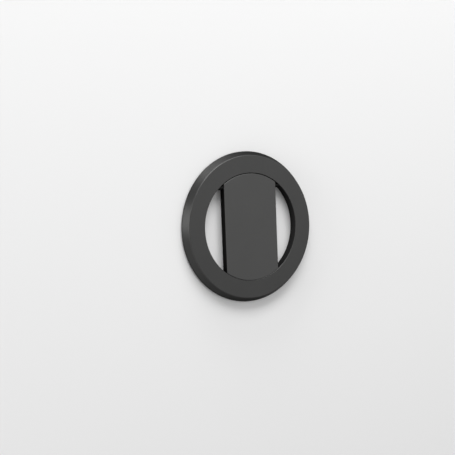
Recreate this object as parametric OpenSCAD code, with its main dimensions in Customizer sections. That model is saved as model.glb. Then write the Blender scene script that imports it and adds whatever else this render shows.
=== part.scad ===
// Magnetic phone mount: a flat ring of magnets with a fold-out stand bar across its bore.
// It lies on its pad at z = 0, face up, with the hinge end of the bar towards +Y.

/* [Magnet ring] */
// Pitch diameter of the ring of magnets
magnet_ring_d = 50; // [46:0.5:54]
// Radial width of each magnet
magnet_w = 4; // [3:0.1:5]
// Thickness of each magnet
magnet_t = 1.2; // [0.8:0.1:2]
// Number of magnets round the ring
magnet_count = 18; // [12:1:24]
// Width of the carrier's rib between two magnets
magnet_rib = 0.4; // [0.3:0.05:1]
// Play round each magnet in its pocket
magnet_fit = 0.05; // [0.02:0.01:0.15]
// Thickness of the steel yoke ring over the magnets
yoke_t = 0.5; // [0.3:0.05:1]
// Play of the yoke and the carrier between the walls of the shell
channel_fit = 0.05; // [0.02:0.01:0.15]
// Thickness of the carrier's two round fences
fence_t = 0.4; // [0.3:0.05:0.8]

/* [Ring shell] */
// Thickness of the face over the magnets
roof_t = 1; // [0.6:0.05:2]
// Room for glue between the yoke and the face
glue_gap = 0.1; // [0.05:0.05:0.3]
// Thickness of the wall round the bore
bore_wall = 1.6; // [1.2:0.1:2.5]
// Radial thickness of the tapered rim at its foot
rim_foot = 1.8; // [1.5:0.1:3]
// How much the rim spreads from the face to its foot
rim_flare = 1.6; // [0.2:0.1:2]
// Rounding of the rim where it meets the face
rim_round = 0.3; // [0.1:0.05:0.5]
// Chamfer of the bore where it meets the face
bore_edge = 0.08; // [0.05:0.01:0.3]
// Height of the bore wall's foot above the phone
wall_lift = 0.15; // [0.05:0.05:0.3]

/* [Base] */
// Thickness of the soft pad that meets the phone
pad_t = 0.4; // [0.2:0.05:0.8]
// Thickness of the carrier's floor under the magnets
floor_t = 0.45; // [0.3:0.05:1]
// How far the pad's edges stay inside the carrier's
pad_inset = 0.15; // [0.05:0.05:0.5]

/* [Stand bar] */
// Width of the bar
bar_w = 23.6; // [18:0.2:26]
// Height of the bar's underside above the phone
bar_lift = 0.35; // [0.3:0.05:0.8]
// Seam between the ring and the bar at the hinge end
hinge_seam = 0.25; // [0.2:0.05:0.6]
// Seam between the ring and the bar at the free end
free_seam = 0.1; // [0.1:0.05:0.3]
// Chamfer round the bar's upper edge
bar_edge = 0.1; // [0.05:0.05:0.2]
// Chamfer of the bar's hinge end, which gives it room to swing
tail_edge = 0.2; // [0.2:0.05:0.4]
// How far the bar's sides and ends lean in towards its underside
bar_draft = 0.2; // [0.1:0.05:0.3]
// Radius of the bar's four corners in plan
bar_corner = 0.5; // [0.4:0.1:2]
// Thickness of the soft liner under the bar
liner_t = 0.5; // [0.3:0.05:0.8]
// How far the liner stands out below the bar
liner_proud = 0.1; // [0:0.05:0.15]
// Metal left round the liner
liner_margin = 1.6; // [1:0.1:3]
// Radius of the liner's corners
liner_corner = 2; // [0.5:0.1:4]
// Play round the liner in its recess
liner_fit = 0.05; // [0.02:0.01:0.15]

/* [Hinge] */
// Diameter of the two hinge pins
pin_d = 0.9; // [0.8:0.05:1.2]
// Wall of the friction bushes on the pins
bush_wall = 0.35; // [0.3:0.05:0.5]
// Length of each bush
bush_l = 3.5; // [2:0.1:6]
// Metal left over the bushes under the bar's face
bush_skin = 0.27; // [0.2:0.05:0.6]
// Running play of the pins in the bushes
pin_play = 0.02; // [0.01:0.01:0.05]
// Play of the parts that are pressed or glued in
press_play = 0.01; // [0.005:0.005:0.02]
// Metal of the ring's bosses round the pins
boss_wall = 0.35; // [0.3:0.05:0.6]
// Play between the bar's sides and the bosses
side_play = 0.2; // [0.1:0.05:0.4]
// Play between the swinging shoulders of the bar and the bore
shoulder_play = 0.08; // [0.05:0.01:0.3]
// How far the bar opens
open_angle = 30; // [20:1:32]

/* [Stops] */
// Width of the tongue that stops the tail and of the ledge under the free end
stop_w = 10; // [6:0.5:14]
// How far the tongue reaches in from the bore
tongue_reach = 2.6; // [1.5:0.1:4]
// Thickness of the tongue
tongue_t = 0.3; // [0.2:0.05:0.4]
// Play over the tongue with the bar fully open
open_play = 0.06; // [0.05:0.01:0.2]
// How far the ledge reaches in from the bore
ledge_reach = 1.3; // [0.8:0.1:3]
// Thickness of the ledge
ledge_t = 0.75; // [0.5:0.05:1.2]
// Play over the ledge with the bar closed
close_play = 0.1; // [0.05:0.01:0.2]

/* [Hidden] */
$fn = 96;
// Overlap of a cutting shape past the face that it cuts
cut = 1;

// Heights of the stack, from the phone upwards
base_h = pad_t + floor_t;
magnet_top = base_h + magnet_t;
yoke_top = magnet_top + yoke_t;
roof_z = yoke_top + glue_gap;
face_z = roof_z + roof_t;

// Radii, from the magnets outwards and inwards
magnet_r_in = (magnet_ring_d - magnet_w) / 2;
magnet_r_out = (magnet_ring_d + magnet_w) / 2;
channel_r_in = magnet_r_in - magnet_fit - fence_t - channel_fit;
channel_r_out = magnet_r_out + magnet_fit + fence_t + channel_fit;
bore_r = channel_r_in - bore_wall;
foot_r = channel_r_out + rim_foot;
face_r = foot_r - rim_flare;

// The bar's ends lie on one circle, a little off the bore's centre
bar_r = bore_r - (hinge_seam + free_seam) / 2;
bar_shift = (hinge_seam - free_seam) / 2;
bar_hw = bar_w / 2;
corner_y = sqrt(pow(bar_r - bar_corner, 2) - pow(bar_hw - bar_corner, 2));

// The least distance from the bore to the hinge axis at which an edge, a seam away, swings clear
function swing_room(seam, height) = (pow(seam, 2) + pow(height, 2)) / (2 * seam);

// The hinge axis is just far enough from the bore for both edges of the tail's chamfer
bush_r = pin_d / 2 + bush_wall;
axis_depth = bush_r + bush_skin;
axis_z = face_z - axis_depth;
upper_edge_room = swing_room(hinge_seam + tail_edge, axis_depth);
lower_edge_room = swing_room(hinge_seam, axis_depth - tail_edge);
setback = max(upper_edge_room, lower_edge_room) + shoulder_play;
axis_y = sqrt(pow(bore_r, 2) - pow(bar_hw, 2)) - setback;
bush_out_x = bar_hw - bar_draft;
pin_in_x = bush_out_x - bush_l;
pin_out_x = sqrt(pow(channel_r_in, 2) - pow(axis_y + pin_d / 2, 2)) - channel_fit;

// Fully open, the tail's sloping underside lies flat over the tongue
tongue_top = wall_lift + tongue_t;
tail_z = tongue_top + open_play;
ledge_top = wall_lift + ledge_t;
slope_y = axis_y + (tail_z - axis_z - (bar_lift - axis_z) * cos(open_angle)) / -sin(open_angle);

// Places of the liner under the bar, clear of the hinge and of the ledge
liner_hw = bar_hw - liner_margin;
liner_y_hinge = min(slope_y, axis_y - bush_r) - liner_margin;
liner_y_free = -(bore_r - ledge_reach - 2 * close_play - liner_margin);
liner_z = bar_lift - liner_proud;

magnet_names = [for (i = [1:magnet_count]) str("magnet_", i < 10 ? "0" : "", i)];

// A flat ring between two radii and two heights
module annulus(r_in, r_out, z0, z1) {
    translate([0, 0, z0])
        difference() {
            cylinder(r = r_out, h = z1 - z0);
            translate([0, 0, -cut]) cylinder(r = r_in, h = z1 - z0 + 2 * cut);
        }
}

// A plate with rounded corners, from -hw to hw in x and from y0 to y1
module plate(hw, y0, y1, r, z0, z1) {
    translate([0, 0, z0])
        linear_extrude(z1 - z0)
            union() {
                translate([-hw + r, y0]) square([2 * (hw - r), y1 - y0]);
                translate([-hw, y0 + r]) square([2 * hw, y1 - y0 - 2 * r]);
                for (x = [-hw + r, hw - r], y = [y0 + r, y1 - r])
                    translate([x, y]) circle(r = r, $fn = 32);
            }
}

// A round bar along X from x0 to x1 on the hinge axis
module on_axis(r, x0, x1) {
    translate([x0, axis_y, axis_z])
        rotate([0, 90, 0])
            cylinder(r = r, h = x1 - x0, $fn = 32);
}

// Something that stands out inwards from the bore's wall, between two heights
module bore_lug(reach, width, side, z0, z1) {
    intersection() {
        annulus(bore_r - reach, bore_r + bore_wall / 2, z0, z1);
        translate([-width / 2, side > 0 ? 0 : -2 * bore_r, z0])
            cube([width, 2 * bore_r, z1 - z0]);
    }
}

// The turned profile of the shell: a channel that opens downwards, with a tapered rim
module shell_profile() {
    lean = atan(rim_flare / (face_z - base_h));
    round_r = face_r - rim_round * tan(45 - lean / 2);
    polygon(concat(
        [
            [bore_r, wall_lift],
            [bore_r, face_z - bore_edge],
            [bore_r + bore_edge, face_z]
        ],
        [
            for (i = [0:4])
                let (a = 90 - i * (90 - lean) / 4)
                    [round_r + rim_round * cos(a), face_z - rim_round + rim_round * sin(a)]
        ],
        [
            [foot_r, base_h],
            [channel_r_out, base_h],
            [channel_r_out, roof_z],
            [channel_r_in, roof_z],
            [channel_r_in, wall_lift]
        ]
    ));
}

module ring_shell() {
    color([0.27, 0.27, 0.265])
        difference() {
            union() {
                rotate_extrude() shell_profile();
                hinge_bosses();
                bore_lug(tongue_reach, stop_w, 1, wall_lift, tongue_top);
                bore_lug(ledge_reach, stop_w, -1, wall_lift, ledge_top);
            }
            on_axis(pin_d / 2 + press_play, bar_hw - cut, pin_out_x + cut);
            on_axis(pin_d / 2 + press_play, -pin_out_x - cut, -bar_hw + cut);
        }
}

// Round bosses that carry the pins from the bore's wall to the bar's sides
module hinge_bosses() {
    boss_r = pin_d / 2 + boss_wall;
    intersection() {
        union() {
            on_axis(boss_r, bar_hw + side_play, bore_r);
            on_axis(boss_r, -bore_r, -bar_hw - side_play);
        }
        translate([0, 0, wall_lift]) cylinder(r = bore_r + bore_wall / 2, h = face_z);
    }
}

module yoke_ring() {
    color("silver")
        annulus(channel_r_in + channel_fit, channel_r_out - channel_fit, magnet_top, yoke_top);
}

// One pocket's share of the ring, as an angle at its middle
function pocket_angle(width) = 360 / magnet_count - 2 * asin(width / magnet_ring_d);

// A segment of a ring, between two radii and two heights
module segment(r_in, r_out, angle, z0, z1) {
    translate([0, 0, z0])
        rotate([0, 0, -angle / 2])
            rotate_extrude(angle = angle)
                translate([r_in, 0]) square([r_out - r_in, z1 - z0]);
}

module magnet(i) {
    color([0.72, 0.72, 0.7])
        rotate([0, 0, (i - 0.5) * 360 / magnet_count])
            segment(
                magnet_r_in, magnet_r_out,
                pocket_angle(magnet_rib + 2 * magnet_fit),
                base_h, magnet_top
            );
}

module magnet_carrier() {
    fence_in = channel_r_in + channel_fit;
    fence_out = channel_r_out - channel_fit;
    color([0.05, 0.05, 0.055])
        union() {
            annulus(fence_in, foot_r, pad_t, base_h);
            annulus(fence_in, fence_in + fence_t, pad_t, magnet_top);
            annulus(fence_out - fence_t, fence_out, pad_t, magnet_top);
            for (i = [0:magnet_count - 1])
                rotate([0, 0, i * 360 / magnet_count])
                    translate([fence_in + fence_t / 2, -magnet_rib / 2, pad_t])
                        cube([fence_out - fence_in - fence_t, magnet_rib, magnet_top - pad_t]);
        }
}

module base_pad() {
    color([0.08, 0.08, 0.085])
        annulus(channel_r_in + channel_fit + pad_inset, foot_r - pad_inset, 0, pad_t);
}

// A disc in the bar's height, with a chamfered upper edge and a wall that leans in below it
module chamfered_disc(r) {
    rotate_extrude()
        polygon([
            [0, bar_lift], [r - bar_draft, bar_lift], [r, face_z - bar_edge],
            [r - bar_edge, face_z], [0, face_z]
        ]);
}

// The bar's plain blank: a strip cut from a chamfered disc, with its four corners rounded
module bar_blank() {
    translate([0, -bar_shift, 0])
        union() {
            difference() {
                intersection() {
                    chamfered_disc(bar_r);
                    rotate([90, 0, 0])
                        translate([0, 0, -bore_r])
                            linear_extrude(2 * bore_r)
                                polygon([
                                    [-bar_hw + bar_draft, bar_lift], [bar_hw - bar_draft, bar_lift],
                                    [bar_hw, face_z - bar_edge], [bar_hw - bar_edge, face_z],
                                    [-bar_hw + bar_edge, face_z], [-bar_hw, face_z - bar_edge]
                                ]);
                }
                for (sx = [-1, 1], sy = [-1, 1])
                    mirror([sx < 0 ? 1 : 0, 0, 0])
                        mirror([0, sy < 0 ? 1 : 0, 0])
                            corner_wedge();
            }
            for (sx = [-1, 1], sy = [-1, 1])
                translate([sx * (bar_hw - bar_corner), sy * corner_y, 0])
                    chamfered_disc(bar_corner, $fn = 32);
        }
}

// The sharp corner outside the two lines where a corner's round begins and ends
module corner_wedge() {
    cx = bar_hw - bar_corner;
    out = bar_corner + cut;
    slant = atan2(corner_y, cx);
    translate([cx, corner_y, bar_lift - cut])
        linear_extrude(face_z - bar_lift + 2 * cut)
            polygon([
                [0, 0],
                [out, 0],
                [out, out],
                [out * cos(slant), out * sin(slant)]
            ]);
}

module stand_bar() {
    color([0.3, 0.3, 0.295])
        difference() {
            bar_blank();
            tail_chamfer();
            tail_relief();
            ledge_notch();
            plate(
                liner_hw + liner_fit, liner_y_free - liner_fit, liner_y_hinge + liner_fit,
                liner_corner + liner_fit, bar_lift - cut, liner_z + liner_t
            );
            for (side = [-1, 1]) {
                bush_x = side * pin_in_x;
                far_x = side * (bar_hw + cut);
                on_axis(bush_r + press_play, min(bush_x, far_x), max(bush_x, far_x));
                relief_x = side * (pin_in_x - 2 * side_play);
                on_axis(
                    pin_d / 2 + side_play / 2,
                    min(relief_x, bush_x + side * cut), max(relief_x, bush_x + side * cut)
                );
            }
        }
}

// The wide chamfer round the hinge end of the bar
module tail_chamfer() {
    translate([0, -bar_shift, 0])
        rotate_extrude(angle = 180)
            polygon([
                [bar_r - tail_edge, face_z],
                [bar_r, face_z - tail_edge],
                [bar_r + cut, face_z - tail_edge],
                [bar_r + cut, face_z + cut],
                [bar_r - tail_edge, face_z + cut]
            ]);
}

// What the tail's sloping underside leaves free for the tongue
module tail_relief() {
    far = 2 * bore_r;
    translate([-bar_w, slope_y, bar_lift])
        rotate([open_angle, 0, 0])
            translate([0, 0, -far])
                cube([2 * bar_w, far, far]);
}

// The notch in the free end over the ledge
module ledge_notch() {
    bore_lug(
        ledge_reach + 2 * close_play, stop_w + 2 * close_play, -1,
        bar_lift - cut, ledge_top + close_play
    );
}

module stand_liner() {
    color([0.1, 0.1, 0.105])
        plate(liner_hw, liner_y_free, liner_y_hinge, liner_corner, liner_z, liner_z + liner_t);
}

module hinge_pin(side) {
    inner = side * (pin_in_x - side_play / 2);
    outer = side * pin_out_x;
    color("gainsboro")
        on_axis(pin_d / 2, min(inner, outer), max(inner, outer));
}

module hinge_bush(side) {
    inner = side * pin_in_x;
    outer = side * bush_out_x;
    color([0.08, 0.08, 0.08])
        difference() {
            on_axis(bush_r, min(inner, outer), max(inner, outer));
            on_axis(pin_d / 2 + pin_play, min(inner, outer) - cut, max(inner, outer) + cut);
        }
}

ring_shell();
yoke_ring();
magnet_carrier();
base_pad();
for (i = [1:magnet_count])
    magnet(i);
stand_bar();
stand_liner();
hinge_pin(-1);  // hinge_pin_left
hinge_pin(1);  // hinge_pin_right
hinge_bush(-1);  // hinge_bush_left
hinge_bush(1);  // hinge_bush_right
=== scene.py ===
from math import cos, pi, radians, sin
import bpy
from mathutils import Matrix, Vector


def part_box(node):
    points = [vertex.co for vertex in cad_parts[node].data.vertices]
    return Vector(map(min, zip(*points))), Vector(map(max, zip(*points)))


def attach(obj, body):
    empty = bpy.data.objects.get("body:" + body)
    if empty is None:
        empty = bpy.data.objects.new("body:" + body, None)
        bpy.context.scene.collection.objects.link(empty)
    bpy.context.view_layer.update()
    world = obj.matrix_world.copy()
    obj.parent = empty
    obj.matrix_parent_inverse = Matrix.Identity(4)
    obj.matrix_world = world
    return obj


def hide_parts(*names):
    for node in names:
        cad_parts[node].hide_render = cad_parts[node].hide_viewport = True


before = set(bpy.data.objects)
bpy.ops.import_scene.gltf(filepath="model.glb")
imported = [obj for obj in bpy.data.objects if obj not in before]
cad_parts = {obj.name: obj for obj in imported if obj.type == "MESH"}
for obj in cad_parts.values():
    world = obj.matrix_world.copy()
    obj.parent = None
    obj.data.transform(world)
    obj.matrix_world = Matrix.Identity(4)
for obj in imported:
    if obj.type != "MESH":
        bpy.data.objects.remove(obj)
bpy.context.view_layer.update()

MM = 0.001

for obj in bpy.context.selected_objects:
    obj.select_set(False)

# Places on the mount, from the frame where it has them
SHELL_LOW, SHELL_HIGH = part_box("ring_shell")
BAR_LOW, BAR_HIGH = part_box("stand_bar")
PAD_LOW, PAD_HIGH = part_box("base_pad")
LINER_LOW, LINER_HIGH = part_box("stand_liner")
PAD_OUTER_R = PAD_HIGH[0]
PAD_INNER_R = 22.7 * MM
PAD_EDGE = 0.12 * MM
PAD_STEPS = 192
WELD_DISTANCE = 0.001 * MM
LINER_CORNER = 2 * MM
LINER_EDGE = 0.12 * MM
SMOOTH_ANGLE = radians(35)

# Where the finish changes, and where painted shade darkens the rim, the bore wall, the bosses and
# the bar's sides: the shell's by the distance from its axis, the bar's by the height
BORE_R = 20.9 * MM
BOSS_R = BORE_R - 0.2 * MM
WALL_R = BORE_R + 0.01 * MM
RIM_R = 27.6 * MM
RIM_BLEND = 0.35 * MM
BAR_SIDE_HIGH = SHELL_HIGH[2] - 0.24 * MM
BAR_SIDE_LOW = BAR_LOW[2] + 0.02 * MM

# Camera, fitted to the edges of the mount in the photograph. Pixels are in its 455 x 455 frame.
IMAGE_PX = 455
SENSOR_MM = 36
FOCAL_PX = 973.4
CAMERA_DISTANCE = 380.6 * MM
RING_CENTRE_PX = (246.1, 225.9)
CAMERA_YAW = radians(31.67)
CAMERA_PITCH = radians(2.09)
MOUNT_TURN = radians(2.6)

# Finishes and painted shades, as linear colours
SATIN_GREY = (0.075, 0.075, 0.0742)
# Painted shade: the rim's grey is darker than the face's, to stand in for the shade on its lower
# side
RIM_GREY_WITH_PAINTED_SHADE = (0.044, 0.044, 0.0435)
BAR_GREY = (0.104, 0.104, 0.103)
# Painted shade for the bore wall, which lies in shade in the ring's recess
BORE_WALL_PAINTED_SHADE = (0.03, 0.03, 0.03)
# Painted shade for the hinge bosses, which lie in shade beside the bar
BOSS_PAINTED_SHADE = (0.012, 0.012, 0.012)
# Painted shade for the bar's sides, which lie in shade in the gaps beside the bar
BAR_SIDE_PAINTED_SHADE = (0.014, 0.014, 0.014)
CARRIER_BLACK = (0.006, 0.006, 0.0063)
PAD_BLACK = (0.012, 0.012, 0.0125)
BUSH_BLACK = (0.011, 0.011, 0.011)
BUSH_BRIGHT = (0.017, 0.017, 0.017)
NICKEL_DULL = (0.5, 0.49, 0.46)
NICKEL_BRIGHT = (0.58, 0.57, 0.54)
YOKE_GREY = (0.36, 0.35, 0.34)
PIN_GREY = (0.5, 0.5, 0.49)
FLOOR_GREY = (0.76, 0.76, 0.76, 1)

# What the two alloys keep of their shine where they are seen edge on
SHELL_EDGE_TINT = (0.38, 0.38, 0.38, 1)
BAR_EDGE_TINT = (0.42, 0.42, 0.42, 1)

# Roughness of each finish, from its smoothest to its most matt place
FACE_ROUGHNESS = (0.5, 0.55)
RIM_ROUGHNESS = (0.34, 0.39)
BAR_ROUGHNESS = (0.68, 0.74)
CARRIER_ROUGHNESS = (0.5, 0.62)
RUBBER_ROUGHNESS = (0.72, 0.85)
NICKEL_ROUGHNESS = (0.18, 0.28)
YOKE_ROUGHNESS = (0.34, 0.48)
PIN_ROUGHNESS = (0.17, 0.24)
BUSH_ROUGHNESS = (0.38, 0.5)

# Depths of the grains and lines
PEBBLE_DEPTH = 0.03 * MM
GRAIN_DEPTH = 0.02 * MM
LINE_DEPTH = 0.01 * MM

# Lines per metre along X, Y and Z: few along a line, and many across it
YOKE_LINES = (200, 5000, 200)
PIN_LINES = (6000, 300, 300)
BUSH_LINES = (9000, 300, 300)

# The range that holds most values of a noise
NOISE_LOW = 0.3
NOISE_HIGH = 0.7

# Studio
FLOOR_SIZE = 3
FLOOR_GAP = 0.02 * MM
WORLD_STRENGTH = 0.36


def make_camera():
    """The camera looks down on the lying mount, from beyond the left side of its bar."""
    forward = Vector((
        sin(CAMERA_YAW) * cos(CAMERA_PITCH),
        -sin(CAMERA_PITCH),
        -cos(CAMERA_YAW) * cos(CAMERA_PITCH),
    ))
    right = Vector((cos(CAMERA_YAW), 0, sin(CAMERA_YAW)))
    up = right.cross(forward)
    middle = (IMAGE_PX - 1) / 2
    to_ring = CAMERA_DISTANCE * (
        forward
        + right * (RING_CENTRE_PX[0] - middle) / FOCAL_PX
        - up * (RING_CENTRE_PX[1] - middle) / FOCAL_PX
    )
    turn = Matrix.Rotation(-MOUNT_TURN, 4, "Z")
    axes = Matrix((right, up, -forward)).transposed().to_4x4()
    data = bpy.data.cameras.new("camera")
    data.sensor_width = SENSOR_MM
    data.lens = FOCAL_PX / IMAGE_PX * SENSOR_MM
    camera = bpy.data.objects.new("camera", data)
    camera.matrix_world = turn @ Matrix.Translation(-to_ring) @ axes
    bpy.context.collection.objects.link(camera)
    bpy.context.scene.camera = camera


# Shader helpers

FLOAT = "NodeSocketFloat"
VECTOR = "NodeSocketVector"


def add_node(tree, kind, **settings):
    node = tree.nodes.new(kind)
    for key, value in settings.items():
        setattr(node, key, value)
    return node


def set_inputs(node, **values):
    for key, value in values.items():
        node.inputs[key.replace("_", " ")].default_value = value


def new_group(name, inputs, outputs):
    """An empty shader group with named number or vector sockets."""
    group = bpy.data.node_groups.new(name, "ShaderNodeTree")
    for socket, kind in inputs.items():
        group.interface.new_socket(socket, in_out="INPUT", socket_type=kind)
    for socket, kind in outputs.items():
        group.interface.new_socket(socket, in_out="OUTPUT", socket_type=kind)
    return group, add_node(group, "NodeGroupInput"), add_node(group, "NodeGroupOutput")


def make_blasted_grain():
    """The even grain of a blasted or moulded surface: its height, and a tone that also drifts."""
    group, inside, outside = new_group(
        "blasted_grain",
        {"Place": VECTOR, "Grains per metre": FLOAT, "Speckle": FLOAT},
        {"Height": FLOAT, "Tone": FLOAT},
    )
    links = group.links
    grain = add_node(group, "ShaderNodeTexNoise")
    set_inputs(grain, Detail=3, Roughness=0.6)
    links.new(inside.outputs["Place"], grain.inputs["Vector"])
    links.new(inside.outputs["Grains per metre"], grain.inputs["Scale"])
    links.new(grain.outputs["Fac"], outside.inputs["Height"])
    drift = add_node(group, "ShaderNodeTexNoise")
    set_inputs(drift, Scale=140, Detail=4, Roughness=0.55)
    links.new(inside.outputs["Place"], drift.inputs["Vector"])
    tone = add_node(group, "ShaderNodeMix", data_type="FLOAT")
    links.new(inside.outputs["Speckle"], tone.inputs["Factor"])
    links.new(drift.outputs["Fac"], tone.inputs["A"])
    links.new(grain.outputs["Fac"], tone.inputs["B"])
    links.new(tone.outputs["Result"], outside.inputs["Tone"])
    return group


def make_ring_places():
    """Masks by the distance from the ring's axis: hinge bosses, bore wall and tapered rim."""
    group, inside, outside = new_group(
        "ring_places",
        {
            "Place": VECTOR, "Boss radius": FLOAT, "Wall radius": FLOAT,
            "Rim radius": FLOAT, "Rim blend": FLOAT,
        },
        {"Boss": FLOAT, "Wall": FLOAT, "Rim": FLOAT},
    )
    links = group.links
    flat = add_node(group, "ShaderNodeVectorMath", operation="MULTIPLY")
    flat.inputs[1].default_value = (1, 1, 0)
    links.new(inside.outputs["Place"], flat.inputs[0])
    radius = add_node(group, "ShaderNodeVectorMath", operation="LENGTH")
    links.new(flat.outputs["Vector"], radius.inputs[0])
    for part in ("Boss", "Wall"):
        within = add_node(group, "ShaderNodeMath", operation="LESS_THAN")
        links.new(radius.outputs["Value"], within.inputs[0])
        links.new(inside.outputs[part + " radius"], within.inputs[1])
        links.new(within.outputs["Value"], outside.inputs[part])
    past = add_node(group, "ShaderNodeMath", operation="SUBTRACT")
    links.new(radius.outputs["Value"], past.inputs[0])
    links.new(inside.outputs["Rim radius"], past.inputs[1])
    rim = add_node(group, "ShaderNodeMath", operation="DIVIDE", use_clamp=True)
    links.new(past.outputs["Value"], rim.inputs[0])
    links.new(inside.outputs["Rim blend"], rim.inputs[1])
    links.new(rim.outputs["Value"], outside.inputs["Rim"])
    return group


class Finish:
    """A material under construction: its tree, its shader and its object coordinates."""

    def __init__(self, name, **constants):
        self.material = bpy.data.materials.new(name)
        self.material.use_nodes = True
        self.tree = self.material.node_tree
        self.shader = self.tree.nodes["Principled BSDF"]
        self.place = add_node(self.tree, "ShaderNodeTexCoord").outputs["Object"]
        set_inputs(self.shader, **constants)

    def link(self, out, into):
        self.tree.links.new(out, into)

    def feed(self, value, socket):
        """Links an output to the socket, or writes a colour on it."""
        if isinstance(value, bpy.types.NodeSocket):
            self.link(value, socket)
        else:
            socket.default_value = (*value, 1)

    def mix(self, factor, first, second, kind="RGBA"):
        """The first where the factor is 0, and the second where it is 1."""
        mix = add_node(self.tree, "ShaderNodeMix", data_type=kind)
        self.link(factor, mix.inputs["Factor"])
        self.feed(first, mix.inputs["A"])
        self.feed(second, mix.inputs["B"])
        return mix.outputs["Result"]

    def mottle(self, tone, color, low, high):
        """The colour, between a low and a high share of it."""
        shares = [tuple(channel * share for channel in color) for share in (low, high)]
        return self.mix(tone, *shares)

    def spread(self, value, low, high):
        """The noise value, moved to the range from low to high."""
        move = add_node(self.tree, "ShaderNodeMapRange")
        set_inputs(move, From_Min=NOISE_LOW, From_Max=NOISE_HIGH, To_Min=low, To_Max=high)
        self.link(value, move.inputs["Value"])
        return move.outputs["Result"]

    def group(self, group, **values):
        """The outputs of a shader group that is fed with the place."""
        node = add_node(self.tree, "ShaderNodeGroup", node_tree=group)
        set_inputs(node, **values)
        self.link(self.place, node.inputs["Place"])
        return node.outputs

    def grain(self, per_metre, speckle):
        """Height and tone of the blasted grain."""
        outputs = self.group(blasted_grain, Grains_per_metre=per_metre, Speckle=speckle)
        return outputs["Height"], outputs["Tone"]

    def lines(self, per_metre, detail, roughness):
        """A noise with its own count per metre along each axis, so that it forms lines."""
        squeeze = add_node(self.tree, "ShaderNodeMapping")
        set_inputs(squeeze, Scale=per_metre)
        self.link(self.place, squeeze.inputs["Vector"])
        noise = add_node(self.tree, "ShaderNodeTexNoise")
        set_inputs(noise, Scale=1, Detail=detail, Roughness=roughness)
        self.link(squeeze.outputs["Vector"], noise.inputs["Vector"])
        return noise.outputs["Fac"]

    def surface(self, color, roughness, height, strength, depth):
        """Puts the colour, the roughness and a bump of this height on the shader."""
        self.link(color, self.shader.inputs["Base Color"])
        self.link(roughness, self.shader.inputs["Roughness"])
        bump = add_node(self.tree, "ShaderNodeBump")
        set_inputs(bump, Strength=strength, Distance=depth)
        self.link(height, bump.inputs["Height"])
        self.link(bump.outputs["Normal"], self.shader.inputs["Normal"])
        return self.material


def make_ring_alloy():
    """The shell's dark alloy: blasted face, smoother turned rim in a darker grey that is painted
    shade, and painted shade as near-black greys on the bore wall and bosses.
    """
    finish = Finish("ring_alloy", Metallic=0.95, Specular_Tint=SHELL_EDGE_TINT)
    height, tone = finish.grain(per_metre=4500, speckle=0.6)
    places = finish.group(
        ring_places,
        Boss_radius=BOSS_R, Wall_radius=WALL_R, Rim_radius=RIM_R, Rim_blend=RIM_BLEND,
    )
    face = finish.mottle(tone, SATIN_GREY, low=0.82, high=1.18)
    # Painted shade: the rim gets a darker grey than the face, for the shade on its lower side
    rim = finish.mottle(tone, RIM_GREY_WITH_PAINTED_SHADE, low=0.85, high=1.15)
    outside = finish.mix(places["Rim"], face, rim)
    # Painted shade: the bore wall and the hinge bosses get near-black greys for the shade in the
    # ring's recess
    inside = finish.mix(places["Boss"], BORE_WALL_PAINTED_SHADE, BOSS_PAINTED_SHADE)
    color = finish.mix(places["Wall"], outside, inside)
    face_roughness = finish.spread(tone, *FACE_ROUGHNESS)
    rim_roughness = finish.spread(tone, *RIM_ROUGHNESS)
    roughness = finish.mix(places["Rim"], face_roughness, rim_roughness, "FLOAT")
    return finish.surface(color, roughness, height, strength=0.6, depth=GRAIN_DEPTH)


def make_bar_alloy():
    """The bar's alloy: lighter and more matt on its face and underside, with painted shade as a
    near-black grey on its cut sides.
    """
    finish = Finish("bar_alloy", Metallic=0.9, Specular_Tint=BAR_EDGE_TINT)
    height, tone = finish.grain(per_metre=4000, speckle=0.6)
    split = add_node(finish.tree, "ShaderNodeSeparateXYZ")
    finish.link(finish.place, split.inputs["Vector"])
    side = add_node(finish.tree, "ShaderNodeMath", operation="COMPARE")
    side.inputs[1].default_value = (BAR_SIDE_HIGH + BAR_SIDE_LOW) / 2
    side.inputs[2].default_value = (BAR_SIDE_HIGH - BAR_SIDE_LOW) / 2
    finish.link(split.outputs["Z"], side.inputs[0])
    face = finish.mottle(tone, BAR_GREY, low=0.82, high=1.18)
    # Painted shade: the bar's sides get a near-black grey for the shade in the gaps beside the bar
    color = finish.mix(side.outputs["Value"], face, BAR_SIDE_PAINTED_SHADE)
    roughness = finish.spread(tone, *BAR_ROUGHNESS)
    return finish.surface(color, roughness, height, strength=0.6, depth=GRAIN_DEPTH)


def make_carrier_plastic():
    """Black moulded plastic with a spark-eroded grain."""
    finish = Finish("carrier_plastic", Specular_IOR_Level=0.05)
    height, tone = finish.grain(per_metre=5000, speckle=0.5)
    color = finish.mottle(tone, CARRIER_BLACK, low=1, high=1.5)
    roughness = finish.spread(tone, *CARRIER_ROUGHNESS)
    return finish.surface(color, roughness, height, strength=0.4, depth=GRAIN_DEPTH)


def make_soft_rubber():
    """Matt black silicone with a fine pebbled skin."""
    finish = Finish("soft_rubber", Specular_IOR_Level=0.05)
    height, tone = finish.grain(per_metre=4000, speckle=0.5)
    pebbles = add_node(finish.tree, "ShaderNodeTexVoronoi", feature="SMOOTH_F1")
    set_inputs(pebbles, Scale=3600, Smoothness=0.6)
    finish.link(finish.place, pebbles.inputs["Vector"])
    color = finish.mottle(tone, PAD_BLACK, low=1, high=1.4)
    roughness = finish.spread(tone, *RUBBER_ROUGHNESS)
    pebble = pebbles.outputs["Distance"]
    return finish.surface(color, roughness, pebble, strength=0.5, depth=PEBBLE_DEPTH)


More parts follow.
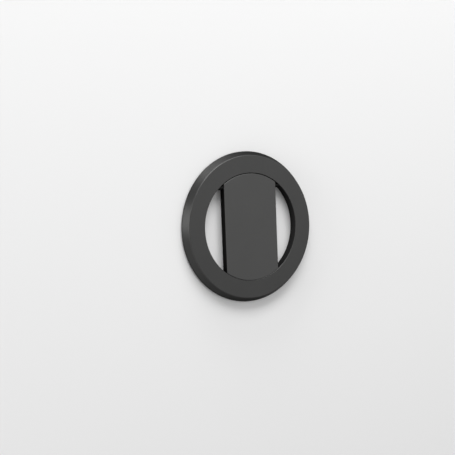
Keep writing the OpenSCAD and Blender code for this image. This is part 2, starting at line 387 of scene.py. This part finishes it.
def make_plated_magnet():
    """Bright nickel plating with a faint orange-peel."""
    finish = Finish("plated_magnet", Metallic=1)
    height, tone = finish.grain(per_metre=3000, speckle=0.3)
    color = finish.mix(tone, NICKEL_DULL, NICKEL_BRIGHT)
    roughness = finish.spread(tone, *NICKEL_ROUGHNESS)
    return finish.surface(color, roughness, height, strength=0.1, depth=LINE_DEPTH)


def make_drawn_steel(name, color, lines_per_metre, roughness):
    """Bright steel with fine lines along the way it was rolled or ground."""
    finish = Finish(name, Metallic=1)
    lines = finish.lines(lines_per_metre, detail=4, roughness=0.7)
    tones = finish.mottle(lines, color, low=0.85, high=1.1)
    return finish.surface(
        tones, finish.spread(lines, *roughness), lines, strength=0.15, depth=LINE_DEPTH,
    )


def make_bush_acetal():
    """Black acetal of the friction bushes, with faint turning lines round the pin."""
    finish = Finish("bush_acetal", Specular_IOR_Level=0.4)
    lines = finish.lines(BUSH_LINES, detail=2, roughness=0.5)
    color = finish.mix(lines, BUSH_BLACK, BUSH_BRIGHT)
    roughness = finish.spread(lines, *BUSH_ROUGHNESS)
    return finish.surface(color, roughness, lines, strength=0.2, depth=LINE_DEPTH)


# Soft pieces

def select_edges(mesh, wanted):
    """Selects, in edit mode, only the edges whose two ends are in wanted places."""
    bpy.ops.mesh.select_all(action="DESELECT")
    bpy.ops.object.mode_set(mode="OBJECT")
    for edge in mesh.edges:
        edge.select = all(wanted(mesh.vertices[i].co) for i in edge.vertices)
    bpy.ops.object.mode_set(mode="EDIT")


def finish_piece(piece, name, body, replaced, material):
    """Takes a modelled piece out of edit mode, puts its place in its mesh and gives it a body."""
    bpy.ops.object.mode_set(mode="OBJECT")
    bpy.ops.object.transform_apply(location=True, rotation=True, scale=True)
    bpy.ops.object.shade_smooth_by_angle(angle=SMOOTH_ANGLE)
    piece.name = name
    piece.data.name = name
    piece.data.materials.append(material)
    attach(piece, body)
    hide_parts(replaced)
    piece.select_set(False)


def model_pad():
    """The soft ring under the carrier: its rounded section, spun round the ring's axis."""
    width = PAD_OUTER_R - PAD_INNER_R
    height = PAD_HIGH[2]
    middle = (PAD_INNER_R + width / 2, 0, height / 2)
    bpy.ops.mesh.primitive_plane_add(size=1, location=middle)
    pad = bpy.context.object
    bpy.ops.object.mode_set(mode="EDIT")
    bpy.ops.transform.resize(value=(width, height, 1))
    bpy.ops.object.mode_set(mode="OBJECT")
    pad.rotation_euler = (pi / 2, 0, 0)
    bpy.ops.object.transform_apply(location=True, rotation=True, scale=True)
    bpy.ops.object.mode_set(mode="EDIT")
    bpy.ops.mesh.select_all(action="SELECT")
    bpy.ops.mesh.bevel(offset=PAD_EDGE, offset_type="OFFSET", segments=4, affect="VERTICES")
    bpy.ops.mesh.select_all(action="SELECT")
    bpy.ops.mesh.delete(type="ONLY_FACE")
    bpy.ops.mesh.select_all(action="SELECT")
    bpy.ops.mesh.spin(
        steps=PAD_STEPS, angle=2 * pi, use_auto_merge=True, center=(0, 0, 0), axis=(0, 0, 1),
    )
    bpy.ops.mesh.select_all(action="SELECT")
    bpy.ops.mesh.remove_doubles(threshold=WELD_DISTANCE)
    bpy.ops.mesh.normals_make_consistent(inside=False)
    finish_piece(pad, "pad_ring", "ring", "base_pad", soft_rubber)


def model_liner():
    """The thin soft sheet in the bar's underside, with round corners and a soft lower edge."""
    width = LINER_HIGH[0] - LINER_LOW[0]
    length = LINER_HIGH[1] - LINER_LOW[1]
    thickness = LINER_HIGH[2] - LINER_LOW[2]
    middle_y = (LINER_HIGH[1] + LINER_LOW[1]) / 2
    bpy.ops.mesh.primitive_plane_add(size=1, location=(0, middle_y, LINER_LOW[2]))
    liner = bpy.context.object
    bpy.ops.object.mode_set(mode="EDIT")
    bpy.ops.transform.resize(value=(width, length, 1))
    bpy.ops.mesh.bevel(offset=LINER_CORNER, offset_type="OFFSET", segments=10, affect="VERTICES")
    bpy.ops.mesh.select_all(action="SELECT")
    bpy.ops.mesh.extrude_region_move(TRANSFORM_OT_translate={"value": (0, 0, thickness)})
    bpy.ops.mesh.select_all(action="SELECT")
    bpy.ops.mesh.normals_make_consistent(inside=False)
    select_edges(liner.data, lambda place: place.z < thickness / 2)
    bpy.ops.mesh.bevel(offset=LINER_EDGE, offset_type="OFFSET", segments=3, affect="EDGES")
    finish_piece(liner, "liner_sheet", "stand", "stand_liner", soft_rubber)


# Studio

def make_floor():
    bpy.ops.mesh.primitive_plane_add(size=FLOOR_SIZE, location=(0, 0, -FLOOR_GAP))
    floor = bpy.context.object
    floor.name = "floor"
    floor.data.materials.append(Finish("pale_floor", Base_Color=FLOOR_GREY, Roughness=0.9).material)
    floor.select_set(False)


def make_softbox(name, azimuth, elevation, distance, width, height, radiance):
    """A rectangular lamp that faces the mount; its width is level and its height leans back."""
    data = bpy.data.lights.new(name, "AREA")
    data.shape = "RECTANGLE"
    data.size = width
    data.size_y = height
    data.energy = radiance * pi * width * height
    lamp = bpy.data.objects.new(name, data)
    turn = radians(azimuth)
    rise = radians(elevation)
    place = Vector((cos(turn) * cos(rise), sin(turn) * cos(rise), sin(rise))) * distance
    facing = place.to_track_quat("Z", "Y").to_matrix().to_4x4()
    lamp.matrix_world = Matrix.Translation(place) @ facing
    bpy.context.collection.objects.link(lamp)


def make_softboxes():
    """A large key lamp, and panels that the rim and the face mirror as soft bands."""
    make_softbox(
        "key", azimuth=33, elevation=54, distance=0.9, width=0.85, height=0.8, radiance=1.15,
    )
    make_softbox(
        "left_panel", azimuth=220, elevation=12, distance=1, width=0.8, height=0.42, radiance=1.2,
    )
    make_softbox(
        "left_strip", azimuth=170, elevation=7.5, distance=1, width=0.5, height=0.25, radiance=8.2,
    )
    make_softbox(
        "upper_strip", azimuth=100, elevation=6.5, distance=1, width=0.6, height=0.22, radiance=14,
    )
    make_softbox(
        "upper_fill", azimuth=95, elevation=30, distance=1, width=1, height=0.36, radiance=8.9,
    )


def make_world():
    world = bpy.data.worlds.new("studio")
    bpy.context.scene.world = world
    world.use_nodes = True
    background = world.node_tree.nodes["Background"]
    set_inputs(background, Color=(1, 1, 1, 1), Strength=WORLD_STRENGTH)


def dress(node, material):
    """Gives a solid of the frame its finish."""
    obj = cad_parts[node]
    obj.data.materials.clear()
    obj.data.materials.append(material)


make_camera()
make_floor()
make_world()
make_softboxes()
bpy.context.scene.view_settings.view_transform = "Standard"

blasted_grain = make_blasted_grain()
ring_places = make_ring_places()
soft_rubber = make_soft_rubber()

dress("ring_shell", make_ring_alloy())
dress("stand_bar", make_bar_alloy())
dress("magnet_carrier", make_carrier_plastic())
dress("yoke_ring", make_drawn_steel("yoke_steel", YOKE_GREY, YOKE_LINES, YOKE_ROUGHNESS))

pin_steel = make_drawn_steel("pin_steel", PIN_GREY, PIN_LINES, PIN_ROUGHNESS)
bush_acetal = make_bush_acetal()
for side in ("left", "right"):
    dress("hinge_pin_" + side, pin_steel)
    dress("hinge_bush_" + side, bush_acetal)

plated_magnet = make_plated_magnet()
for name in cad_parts:
    if name.startswith("magnet_") and name != "magnet_carrier":
        dress(name, plated_magnet)

model_pad()
model_liner()
